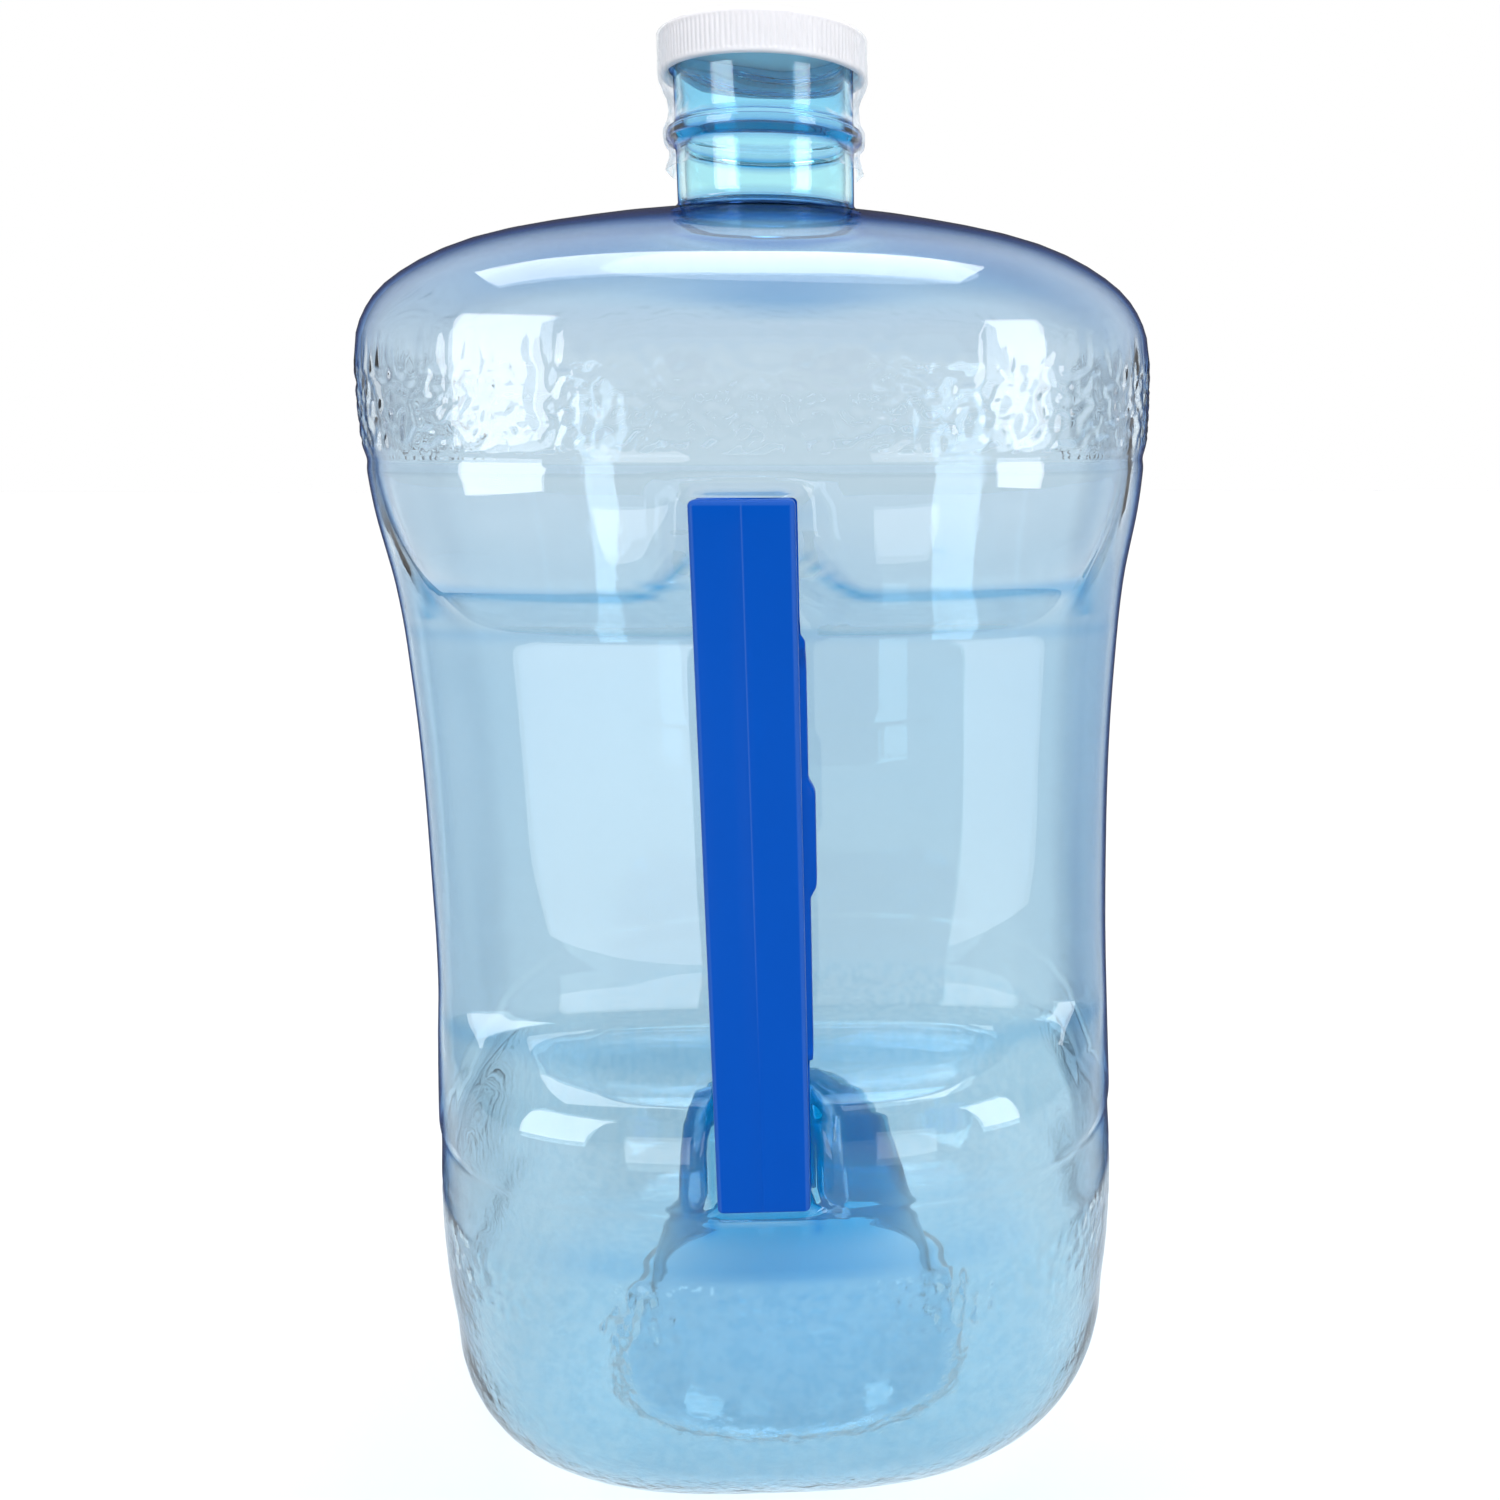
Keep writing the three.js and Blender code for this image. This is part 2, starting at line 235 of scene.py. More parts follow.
def side_rows(density):
    """Rows (half-width, z) up the side, closer together at the ledges, groove and texture."""
    spans = [(CORNER_R, 70, 4), (70, 90, 1.3), (90, 104, 3), (104, 113, 0.9), (113, 132, 3), (132, 150, 1.0),
             (150, 246, 5), (246, 270, 1.1), (270, 292, 2.5), (292, 299, 0.65), (299, 318, 1.0)]
    z = np.concatenate([np.linspace(low, high, max(2, round(density * (high - low) / step)) + 1)[:-1]
                        for low, high, step in spans])
    return np.stack([half_width(z), z], -1)


def corner_rows(steps):
    """Rows (half-width, z) round the corner between the foot and the side."""
    angle = np.linspace(-math.pi / 2, 0, steps + 1)
    z = CORNER_R + CORNER_R * np.sin(angle)
    a = FOOT_OUTER + CORNER_R * np.cos(angle)
    drawn_in = 0.8 * (z / CORNER_R) ** 2 / LOWER_HALF
    return np.stack([a * (1 - drawn_in), z], -1)[:-1]


def neck_rows():
    """Rows (half-width, z) from the neck's root, over the support ring and thread, to the top of the lip."""
    ring = [(NECK_R, 368), (NECK_R, 374), (NECK_R, 379), (NECK_R + 0.15, 380.9),
            (NECK_R + 0.9, RING_Z - RING_HALF - 0.5), (RING_R - 0.25, RING_Z - RING_HALF + 0.25),
            (RING_R, RING_Z - 0.7), (RING_R - 0.12, RING_Z), (RING_R, RING_Z + 0.7),
            (RING_R - 0.25, RING_Z + RING_HALF - 0.25), (NECK_R + 0.9, RING_Z + RING_HALF + 0.4),
            (NECK_R + 0.15, 387.2), (NECK_R, 388.5)]
    straight = [(NECK_R, z) for z in (391.5, 394.5, 396.8)]
    threaded = [(NECK_R, z) for z in np.arange(398, RIM_Z - 0.9, 0.36)]
    lip_r = 0.8
    lip = [(NECK_R - lip_r + lip_r * math.cos(t), RIM_Z - lip_r + lip_r * math.sin(t))
           for t in np.linspace(0, math.pi / 2, 5)]
    return np.array(ring + straight + threaded + lip)


def bore_rows():
    """Rows (half-width, z) up the neck's inside, from its root to the rim."""
    root = [(25.3, 363.4), (24.2, 364.1), (23.4, 365.2), (23.0, 366.6)]
    straight = [(BORE_R, z) for z in (368.5, 372, 380, 388, 396, 402, RIM_Z - 0.6)]
    return np.array(root + straight + [(BORE_R + 0.2, RIM_Z - 0.2), (BORE_R + 0.5, RIM_Z)])


# ---- the bottle's surface ----
def plan_radius(angle, a):
    """Radius of a ring of half-width a: round when small, a rounded square when large."""
    power = 2 + (SQUARENESS - 2) * smoothstep(ROUND_UP_TO, SQUARE_FROM, a)
    return a * (np.abs(np.cos(angle)) ** power + np.abs(np.sin(angle)) ** power) ** (-1 / power)


def recess_depth(x, z, room):
    """How far in front of the axis the recess's surface lies, with rounded inner corners.

    room is how far the outer surface stands in front of the recess's back: the ledges rise to it
    over the same height everywhere, so their edges stay level.
    """
    beside = np.maximum(np.abs(x) - HANDLE_HALF, 0)
    arch = ARCH_RISE * hump(beside, 0, ARCH_REACH)
    upper = softplus((z - RECESS_TOP - arch * smoothstep(*ARCH_STARTS, z)) * TOP_SLOPE, TOP_ROUNDING)
    lower = softplus((RECESS_BOTTOM - z) * BOTTOM_SLOPE, BOTTOM_ROUNDING)
    share = room / RECESS_ROOM
    upper, lower = np.clip(share, TOP_LEAST_SHARE, 1) * upper, np.clip(share, BOTTOM_LEAST_SHARE, 1) * lower
    return RECESS_Y + upper + lower


def scatter(i, j, k):
    """A fixed value from -1 to 1 for cell (i, j), a different one for each k."""
    return 2 * ((np.sin(i * 12.9898 + j * 78.233 + k * 37.719) * 43758.5453) % 1) - 1


def pebbles(angle, z, radius):
    """Height of the moulded-in hammered texture: leaf-shaped cells that lean every way."""
    across = round(TAU * radius / TEXTURE_CELL)
    u, v = (angle % TAU) / TAU * across, z / (0.85 * TEXTURE_CELL)
    u, v = np.broadcast_arrays(u, v)
    height = np.full(u.shape, CELL_FLOOR)
    for du in (-1, 0, 1):
        for dv in (-1, 0, 1):
            i, j = (np.floor(u) + du) % across, np.floor(v) + dv
            x = u - (np.floor(u) + du + 0.5 + CELL_JITTER * scatter(i, j, 1))
            y = v - (j + 0.5 + CELL_JITTER * scatter(i, j, 2))
            lean = CELL_LEAN * scatter(i, j, 3)
            along = x * np.cos(lean) + y * np.sin(lean)
            aside = y * np.cos(lean) - x * np.sin(lean)
            height = np.maximum(height, 1 - (along / CELL_LONG) ** 2 - (aside / CELL_WIDE) ** 2)
    return height


def band_mask(z, band):
    """1 within a band of texture, fading out over its edges."""
    low, high = band
    return (smoothstep(low - TEXTURE_EDGE, low + TEXTURE_EDGE, z)
            * (1 - smoothstep(high - TEXTURE_EDGE, high + TEXTURE_EDGE, z)))


def texture_share(front, z):
    """How strong the texture is: weaker on the upper band's very front, and off the lower band's front."""
    upper = 1 - 0.6 * smoothstep(0.95, 0.995, front)
    lower = 0.3 + 0.7 * smoothstep(0.55, 0.85, front)
    return band_mask(z, UPPER_TEXTURE) * upper + lower * band_mask(z, LOWER_TEXTURE)


def bottle_radius(angle, a, z, fine):
    """Distance from the axis to the bottle's outer surface, with the texture where fine is true."""
    outer = plan_radius(angle, a)
    front = -np.sin(angle)
    touches = (front > FACES_FRONT) & (a > RECESS_Y) & (z > RECESS_BOTTOM / 2)
    safe = np.where(touches, front, 1)
    x = outer * np.cos(angle)
    cut = np.where(touches, recess_depth(x, z, outer * front - RECESS_Y) / safe, FAR_AWAY)
    for back, low, high in POCKETS:
        inside = 1 - smoothstep(*POCKET_SIDE, np.abs(x))
        inside = inside * smoothstep(low - POCKET_EDGE, low + POCKET_EDGE, z)
        inside = inside * (1 - smoothstep(high - POCKET_EDGE, high + POCKET_EDGE, z)) * touches
        pocket = back / safe + (1 - inside) * POCKET_BLEND
        cut = np.where(inside > 0.001, np.minimum(cut, pocket), cut)
    crisp = EDGE_CRISPNESS - LOW_EDGE_SOFTER * (1 - smoothstep(*EDGE_CHANGES, z))
    r = outer * (1 + (outer / cut) ** crisp) ** (-1 / crisp)
    on_side = a > SQUARE_FROM
    below_step = (1 - smoothstep(STEP_Z - STEP_REACH, STEP_Z + STEP_REACH, z)) * smoothstep(*STEP_FADES, z)
    r = r - GROOVE_DEPTH * hump(z, GROOVE_Z, GROOVE_REACH) * on_side
    r = r - STEP_DEPTH * below_step * on_side
    r = r - FROST_DEPTH * hump(z, FROST_Z, FROST_REACH) * on_side
    if fine:
        r = r + TEXTURE_HEIGHT * texture_share(front, z) * pebbles(angle, z, TEXTURE_R) * on_side
    return r


def thread_height(angle, z):
    """How far the external thread stands out of the neck at this point."""
    turn = (angle % TAU) / TAU
    height = np.zeros(np.broadcast(angle, z).shape)
    for lap in range(math.ceil(THREAD_TURNS)):
        along = turn + lap
        end = np.minimum(along, THREAD_TURNS - along)
        lead = smoothstep(0, THREAD_LEAD, end)
        away = np.abs(z - (THREAD_START + PITCH * along))
        height = np.maximum(height, lead * (1 - smoothstep(0.3, 0.95, away)) * (end > 0))
    return THREAD_HEIGHT * height


# ---- values from 0 to 1 that the bottle's material reads: depth of blue, frosting, edge strength ----
def push_up_blue(a, z):
    """Deep in the push-up's dome, paler on the skirt below and at the very top."""
    under = (a < FOOT_INNER + 4) * (z < BELL_APEX + 3)
    dome, crown = smoothstep(*DOME_RISES, z), smoothstep(*CROWN_RISES, z)
    return under * (SKIRT_BLUE + DOME_BLUE * dome * (1 - CROWN_PALER * crown))


def recess_painted_shade(angle, a, z, r):
    """Painted shade: darker lines along the upper ledge, the recess's two inner corners and the sides of the
    lower pocket.
    """
    front, plan = -np.sin(angle), plan_radius(angle, a)
    reach = (front > FACES_FRONT) & (a > RECESS_Y)
    inside = reach * (plan - r > RECESS_LEAST_CUT)
    ledge = mark(1 - r / plan, *LEDGE_SHADE) * within(z, *LEDGE_ZONE) * reach
    upper_corner = mark(z, *UPPER_CORNER_SHADE) * inside
    lower_corner = mark(z, *LOWER_CORNER_SHADE) * inside
    from_wall = np.abs(np.abs(r * np.cos(angle)) - POCKET_WALL_X)
    on_wall = (from_wall < POCKET_WALL_REACH) * (z < POCKET_WALL_TOP) * (r * front > POCKET_WALL_Y)
    return np.maximum.reduce([ledge, upper_corner, lower_corner, POCKET_WALL_SHADE * inside * on_wall])


def frost_rim_blue(angle, a, z, r):
    """A band over the frosting's upper end that fades out towards the corners."""
    at_front = -np.sin(angle) > 0
    rim = mark(z, *FROST_RIM_BLUE) * at_front * (a > SQUARE_FROM)
    return rim * np.exp(-((r * np.cos(angle) / FROST_RIM_HALF) ** 4))


def shoulder_blue(angle, z, r):
    """A tint that grows towards the neck, and an arc behind it."""
    ring = SHOULDER_BLUE * (1 - smoothstep(*SHOULDER_FADES, r)) * within(z, *SHOULDER_ZONE)
    behind = mark(r * np.cos(angle), *ARC_BLUE) * (-np.sin(angle) < 0) * (z > ARC_FROM_Z)
    return np.maximum(ring, behind * smoothstep(*ARC_STARTS, r) * (1 - smoothstep(*ARC_ENDS, r)))


def neck_blue(z, r):
    """The root, the support ring, whose lower half has painted shade, and the thread."""
    root = mark(r, *ROOT_BLUE) * within(z, *ROOT_ZONE)
    shaded_underside = 1 - smoothstep(RING_Z - 1.1, RING_Z + 0.3, z)
    ring = (r > NECK_R + 0.1) * within(z, *COLLAR_ZONE) * (COLLAR_BLUE + COLLAR_UNDERSIDE_SHADE * shaded_underside)
    thread = THREAD_BLUE * (r > NECK_R + 0.3) * (z > COLLAR_ZONE[1])
    return np.maximum.reduce([root, ring, thread])


def blue_depth(angle, a, z, r):
    """How deep the blue is. Much of it stands for how much plastic the light passes; the marks in the recess
    and under the support ring are painted shade.
    """
    a, z = np.broadcast_to(a, r.shape), np.broadcast_to(z, r.shape)
    parts = [push_up_blue(a, z), recess_painted_shade(angle, a, z, r), frost_rim_blue(angle, a, z, r),
             shoulder_blue(angle, z, r), neck_blue(z, r)]
    return np.clip(np.maximum.reduce(parts), 0, 1)


def frosting(z, r):
    """1 on the frosted lower part of the outer surface."""
    return (1 - smoothstep(86, 90.5, z)) * smoothstep(61, 66, r)


def edge_strength(z, r):
    """How far the edges darken where they turn away: less on the push-up, and least on its skirt."""
    skirt, dome = (r < 60) * (z < 50), (r < 60) * (z >= 50) * (z < BELL_APEX + 3)
    return 1 - 0.75 * skirt - 0.35 * dome


def inner_edge_strength(points):
    """The same on the inner surface, weaker, and weakest in the recess."""
    x, y, z = points.T
    in_recess = (y < -0.55 * RECESS_Y) * (z > 95) * (z < 290)
    return 0.6 * edge_strength(z, np.hypot(x, y)) * (1 - 0.8 * in_recess)


# ---- the bottle's mesh ----
def rings(rows, count, fine=True):
    """Points (row, column, xyz) of the surface over rows of (half-width, z), and their depth of blue."""
    angle = np.arange(count) / count * TAU
    a, z = rows[:, :1], rows[:, 1:]
    r = bottle_radius(angle, a, z + 0 * angle, fine)
    r = r + thread_height(angle, z) * (a <= NECK_R + 0.01) * (z > THREAD_FROM)
    return np.stack([r * np.cos(angle), r * np.sin(angle), z + 0 * angle], -1), blue_depth(angle, a, z, r)


def grid_normals(p):
    """Outward unit normals of a grid of rings."""
    around = np.roll(p, -1, 1) - np.roll(p, 1, 1)
    along = np.gradient(p, axis=0)
    n = np.cross(around, along)
    return n / np.maximum(np.linalg.norm(n, axis=-1, keepdims=True), 1e-9)


def bridge(coarse, coarse_count, fine, fine_count, fine_above):
    """Triangles between two rings where one has several points for each of the other's."""
    ratio = fine_count // coarse_count
    half = ratio // 2
    faces = []
    for j in range(coarse_count):
        a, b = coarse + j, coarse + (j + 1) % coarse_count
        chain = [fine + (ratio * j + k) % fine_count for k in range(ratio + 1)]
        for k in range(ratio):
            apex = a if k < half else b
            faces.append((apex, chain[k + 1], chain[k]))
        faces.append((a, b, chain[half]))
    return faces if fine_above else [f[::-1] for f in faces]


def outer_surface():
    """The outside up to the lip: points, depths of blue, faces, and its last ring's first point.

    Rings in the two textured bands have more points, and bridges join them to the rest.
    """
    rows = np.concatenate([spline(BELL, 26)[:-1], FOOT, corner_rows(13), side_rows(1.0),
                           spline(SHOULDER, 26), neck_rows()])
    a, z = rows.T
    in_band = (np.abs(z - np.mean(LOWER_TEXTURE)) < 11) | (np.abs(z - np.mean(UPPER_TEXTURE)) < 13)
    textured = (a > SQUARE_FROM) * in_band
    cuts = [0, *(np.flatnonzero(np.diff(textured.astype(int))) + 1), len(rows)]
    points, depths, faces, start, last = [], [], [], 0, None
    for low, high in zip(cuts, cuts[1:]):
        columns = FINE_COLUMNS if textured[low] else COLUMNS
        grid, depth = rings(rows[low:high], columns)
        points.append(grid.reshape(-1, 3))
        depths.append(depth.reshape(-1))
        if last:
            below, below_columns = last
            if columns > below_columns:
                faces += bridge(below, below_columns, start, columns, True)
            else:
                faces += bridge(start, columns, below, below_columns, False)
        faces += [tuple(f) for f in grid_faces(len(grid), columns, start)]
        last = (start + (len(grid) - 1) * columns, columns)
        start += len(grid) * columns
    return np.concatenate(points), np.concatenate(depths), faces, last[0]


def inner_surface(first):
    """The inside, numbered from first: the outside moved in by the wall, and then the neck's bore."""
    rows = np.concatenate([spline(BELL, 20)[:-1], FOOT, corner_rows(9), side_rows(0.5),
                           spline(SHOULDER, 18)[:-1]])
    skin, skin_depth = rings(rows, INNER_COLUMNS, fine=False)
    skin = skin - WALL * grid_normals(skin)
    bore, bore_depth = rings(bore_rows(), INNER_COLUMNS, fine=False)
    grid = np.concatenate([skin, bore])
    depths = np.concatenate([skin_depth.reshape(-1), bore_depth.reshape(-1)])
    faces = [tuple(f[::-1]) for f in grid_faces(len(grid), INNER_COLUMNS, first)]
    return grid.reshape(-1, 3), depths, faces, first + (len(grid) - 1) * INNER_COLUMNS


def make_bottle():
    """One closed shell: the outer surface, the inner surface, and the faces that join and close them."""
    outside, outside_depth, faces, top_outer = outer_surface()
    first_inner = len(outside)
    inside, inside_depth, inside_faces, top_inner = inner_surface(first_inner)
    faces += inside_faces
    faces += bridge(top_inner, INNER_COLUMNS, top_outer, COLUMNS, False)
    faces.append(tuple(range(COLUMNS))[::-1])
    faces.append(tuple(range(first_inner, first_inner + INNER_COLUMNS)))
    made = mesh_object("bottle_shell", np.concatenate([outside, inside]), faces)
    x, y, z = outside.T
    r = np.hypot(x, y)
    store(made, "depth", np.concatenate([outside_depth, inside_depth]))
    store(made, "frost", np.concatenate([frosting(z, r), np.zeros(len(inside))]))
    store(made, "edge", np.concatenate([edge_strength(z, r), inner_edge_strength(inside)]))
    return made


# ---- the handle ----
def handle_front(z):
    """Distance of the bar's front face from the axis."""
    return FRONT_BOTTOM + (FRONT_TOP - FRONT_BOTTOM) * (z - HANDLE_BOTTOM) / (HANDLE_TOP - HANDLE_BOTTOM)


def handle_rear(z):
    """Distance of the bar's rear face from the axis: the ends are shallow where they clip on."""
    top = 10.9 * np.clip((z - 249) / 12, 0, 1)
    bottom = 7.5 * np.clip((150 - z) / 10, 0, 1)
    return REAR_Y + np.maximum(top, bottom)


def front_corner(cx, cy, r, steps):
    """Points round a quarter circle from its foremost to its rightmost point."""
    angle = np.linspace(-math.pi / 2, 0, steps + 1)
    return [(cx + r * math.cos(t), cy + r * math.sin(t)) for t in angle]


def handle_section(z, inset):
    """Outline (x, y) of the bar at height z, anticlockwise from the front's middle.

    The right half goes seam, front face, rounded corner, side, rear flange, rear face. The left half
    mirrors it, but stands out by LEFT_EXTRA at most.
    """
    half = HANDLE_HALF - inset
    front, rear = -handle_front(z) + inset, -handle_rear(z) - inset
    r = max(HANDLE_R - 0.4 * inset, LEAST_R)
    clips_on = rear - front < CLIP_DEPTH
    grip = smoothstep(GRIP_LOW - 1, GRIP_LOW + 3.5, z) * (1 - smoothstep(GRIP_HIGH - 3.5, GRIP_HIGH + 1, z))
    wide = half + (0 if clips_on else FLANGE_EXTRA) + (GRIP_EXTRA - FLANGE_EXTRA) * float(grip)
    flange = rear - (CLIP_FLANGE if clips_on else BAR_FLANGE)
    ridge = SEAM_HEIGHT if inset == 0 else 0.0
    right = [(0.0, front - ridge), (0.28, front - ridge * 0.4), (0.45, front)]
    right += [(half * 0.35, front), (half * 0.7, front)]
    right += front_corner(half - r, front + r, r, 5)
    right += [(half, front + 3), (half - 0.15, front + 5.5)]
    right += [(half - 0.7, front + 6.2), (half - 0.7, flange - 1.4)]
    right += [(half - 0.5, flange - 0.7), (wide - 0.5, flange)]
    right += [(wide, flange + 0.5), (wide, rear - 1.3), (wide - 0.5, rear - 0.35), (wide - 1.3, rear)]
    right += [(wide * 0.5, rear), (0.0, rear)]
    left = [(-min(x, half + LEFT_EXTRA), y) for x, y in right[1:-1]][::-1]
    return np.array(right + left)


def make_handle():
    """The bar, from sections that are closer together where it steps, and painted highlights as paler lines
    on its front.
    """
    spans = [(HANDLE_BOTTOM + HANDLE_R, 139, 8), (140, 152, 9), (155, 187, 8), (189, 195.5, 9), (199, 212, 5),
             (215, 221.5, 9), (226, 247, 5), (248, 262, 9), (265, HANDLE_TOP - HANDLE_R, 6)]
    rounding = [(HANDLE_R * (1 - math.sin(t)), HANDLE_R * (1 - math.cos(t)))
                for t in np.linspace(0, math.pi / 2, 6)[1:]]
    rows = [(HANDLE_BOTTOM + from_end, inset) for from_end, inset in rounding[::-1]]
    rows += [(z, 0.0) for span in spans for z in np.linspace(*span)]
    rows += [(HANDLE_TOP - from_end, inset) for from_end, inset in rounding]
    sections = []
    for z, inset in rows:
        outline = handle_section(z, inset)
        sections.append(np.column_stack([outline, np.full(len(outline), z)]))
    shape = len(sections), len(sections[0])
    points = np.concatenate(sections)
    made = mesh_object("bar_handle", points, [*grid_faces(*shape), *end_faces(*shape)])
    x, y, z = points.T
    on_front = y < 1.6 - handle_front(z)
    # Painted highlights: paler lines down the seam, along the front's corners and over the top end.
    seam = 0.5 * (np.abs(x) < 0.2) * on_front * smoothstep(140, 200, z)
    corner = 0.4 * (np.abs(x) > HANDLE_HALF - 0.9) * on_front
    top_end = 0.35 * on_front * (z > HANDLE_TOP - 1.0)
    store(made, "edge", np.maximum.reduce([seam, corner, top_end]))
    return made


# ---- the closure ----
def turned(name, profile, columns, ripple=None):
    """A closed solid turned about the axis from a profile of (radius, z) that ends close to it."""
    angle = np.arange(columns) / columns * TAU
    rows = np.array(profile, float)
    r = rows[:, :1] + 0 * angle
    z = rows[:, 1:] + 0 * angle
    if ripple:
        r = ripple(r, z, angle)
    points = np.stack([r * np.cos(angle), r * np.sin(angle), z], -1).reshape(-1, 3)
    return mesh_object(name, points, [*grid_faces(len(rows), columns), *end_faces(len(rows), columns)])


def make_cap():
    """The cap, from the bore's middle out over the skirt and the rounded edge to the top's middle."""
    bottom, top = cap_low.z, cap_high.z
    under, dish = top - CAP_PLATE, top - CAP_DISH
    bore = [(1.5, under), (20, under), (CAP_BORE - 0.6, under), (CAP_BORE, under - 0.6)]
    bore += [(CAP_BORE, z) for z in np.arange(under - 1.2, bottom + 0.6, -0.35)]
    bore += [(CAP_BORE + 0.05, bottom + 0.3)]
    skirt = [(CAP_BORE + 0.35, bottom), (CAP_R - 0.5, bottom), (CAP_R - 0.12, bottom + 0.15),
             (CAP_R, bottom + 0.55), (CAP_R, bottom + 1.0), (CAP_R, bottom + 1.3)]
    skirt += [(CAP_R, z) for z in np.linspace(bottom + 1.9, top - 2.5, 5)]
    skirt += [(CAP_R, top - 2.1)]
    edge = [(CAP_R - CAP_EDGE_R + CAP_EDGE_R * math.cos(t), top - CAP_EDGE_R + CAP_EDGE_R * math.sin(t))
            for t in np.linspace(0, math.pi / 2, 7)]
    face = [(CAP_R - 2.2, top - 0.04), (CAP_R - 2.7, top - 0.22), (CAP_R - 8, dish), (9, dish), (1.5, dish)]

    def ripple(r, z, angle):
        """Ribs cut into the skirt's outside, and the thread raised on the bore."""
        on_side = smoothstep(bottom + 1.0, bottom + 1.4, z) * (1 - smoothstep(top - 2.2, top - 1.2, z))
        on_side = on_side * (r > CAP_R - 0.6)
        wave = 0.5 - 0.5 * np.cos(angle * RIBS)
        r = r - RIB_DEPTH * on_side * wave**1.6
        turn = (angle % TAU) / TAU
        centre = THREAD_START + PITCH / 2 + PITCH * turn
        reach = 1 - smoothstep(0.3, 0.9, np.abs(z - centre))
        lead = smoothstep(0, THREAD_LEAD, np.minimum(turn, 1 - turn))
        return r - CAP_THREAD_HEIGHT * reach * lead * (np.abs(r - CAP_BORE) < 0.02)

    return turned("ribbed_cap", bore + skirt + edge + face, RIBS * POINTS_PER_RIB, ripple)


def make_liner():
    """The foam disc, with a shallow dent where the bottle's rim has pressed it."""
    low, high, r = liner_low.z, liner_high.z, (liner_high.x - liner_low.x) / 2
    dent = low + 0.12
    profile = [(1.5, low), (r * 0.5, low), (r - 3.2, low), (r - 2.6, dent), (r - 0.9, dent),
               (r - 0.3, low + 0.1), (r, low + 0.4), (r, high - 0.3), (r - 0.3, high), (r * 0.5, high),
               (1.5, high)]
    return turned("foam_liner", profile, 96)


def make_band():
    """The crinkled film: an inner and an outer surface a tenth of a millimetre apart."""
    film, columns = 0.1, 240
    bottom, top = band_low.z, band_high.z
    over_ring, over_cap = RING_R + 0.5, CAP_R + 0.38
    outline = spline([(27.5, bottom), (26.7, 377.6), (26.9, 380.2), (over_ring, 382.2), (over_ring, 385.6),
                      (26.4, 388.4), (26.2, 392), (27.4, 395.6), (over_cap, 398.6), (over_cap, 404),
                      (over_cap, top)], 80)
    angle = np.arange(columns) / columns * TAU
    r, height = outline[:, :1] + 0 * angle, outline[:, 1:] + 0 * angle

    def folds(count, climb=0.0, shift=0.0):
        """Waves round the neck that lean by climb radians for every millimetre of height."""
        return np.sin(count * angle + climb * height + shift)

    above_ring, below_ring = smoothstep(386, 389, height), 1 - smoothstep(376, 381, height)
    free = above_ring * (1 - smoothstep(395, 398, height)) + below_ring
    loose = (0.50 * folds(7, 0.35) * folds(3, -0.2) + 0.32 * np.abs(folds(11, -0.5, 1.3))
             + 0.2 * folds(23, 0.9))
    tight = 0.06 * np.abs(folds(17, 0.6)) + 0.05 * folds(41, -0.3)
    r = r + free * (0.35 + loose) * 0.75 + (1 - free) * tight
    ragged = (1 - smoothstep(375, 379, height)) * (0.8 * folds(3) + 0.5 * folds(8, shift=1))
    z = np.maximum(height + ragged, bottom)
    inner = np.stack([r * np.cos(angle), r * np.sin(angle), z], -1)
    outer = inner + np.stack([np.cos(angle), np.sin(angle), 0 * angle], -1) * film
    points = np.concatenate([outer.reshape(-1, 3), inner[::-1].reshape(-1, 3)])
    rows = 2 * len(outline)
    last = (rows - 1) * columns
    closing = [(last + j, last + (j + 1) % columns, (j + 1) % columns, j) for j in range(columns)]
    return mesh_object("clear_band", points, [*grid_faces(rows, columns), *closing])


# ---- node helpers ----
def feed(tree, socket, value):
    """Link an input to a socket, or set it to a number or to a colour without its alpha."""
    if isinstance(value, bpy.types.NodeSocket):
        tree.links.new(value, socket)
    elif isinstance(value, tuple):
        socket.default_value = (*value, 1)
    else:
        socket.default_value = value


def add(tree, kind, inputs=None, **settings):
    """A new node with its settings made and its inputs fed."""
    node = tree.nodes.new(kind)
    for key, value in settings.items():
        setattr(node, key, value)
    for key, value in (inputs or {}).items():
        feed(tree, node.inputs[key], value)
    return node


def new_material(name):
    """A new material, its node tree, its shader and the socket for its surface."""
    material = bpy.data.materials.new(name)
    material.use_nodes = True
    tree = material.node_tree
    return material, tree, tree.nodes["Principled BSDF"], tree.nodes["Material Output"].inputs["Surface"]


def coordinates(tree):
    """Places on the object, and their height above the floor, in metres."""
    position = add(tree, "ShaderNodeTexCoord").outputs["Object"]
    return position, add(tree, "ShaderNodeSeparateXYZ", {0: position}).outputs["Z"]


def attribute(tree, name):
    """A number that store() has kept per point, or 0 on a mesh without it."""
    return add(tree, "ShaderNodeAttribute", attribute_name=name).outputs["Fac"]


def maths(tree, operation, *values):
    return add(tree, "ShaderNodeMath", dict(enumerate(values)), operation=operation).outputs[0]


def map_range(tree, source, span=(0.0, 1.0), onto=(0.0, 1.0), easing="LINEAR"):
    """source, with the span from one number to another stretched onto a new one."""
    inputs = {"Value": source, "From Min": span[0], "From Max": span[1], "To Min": onto[0], "To Max": onto[1]}
    return add(tree, "ShaderNodeMapRange", inputs, interpolation_type=easing).outputs["Result"]


def mix(tree, share, a, b, kind="RGBA", blend="MIX"):
    """a where share is 0 and b where it is 1, for colours or, with kind FLOAT, for numbers."""
    settings = {"data_type": kind, "blend_type": blend}
    return add(tree, "ShaderNodeMix", {"Factor": share, "A": a, "B": b}, **settings).outputs["Result"]


def mix_shaders(tree, share, a, b):
    return add(tree, "ShaderNodeMixShader", {0: share, 1: a, 2: b}).outputs["Shader"]


def transparent(tree, colour):
    return add(tree, "ShaderNodeBsdfTransparent", {"Color": colour}).outputs["BSDF"]


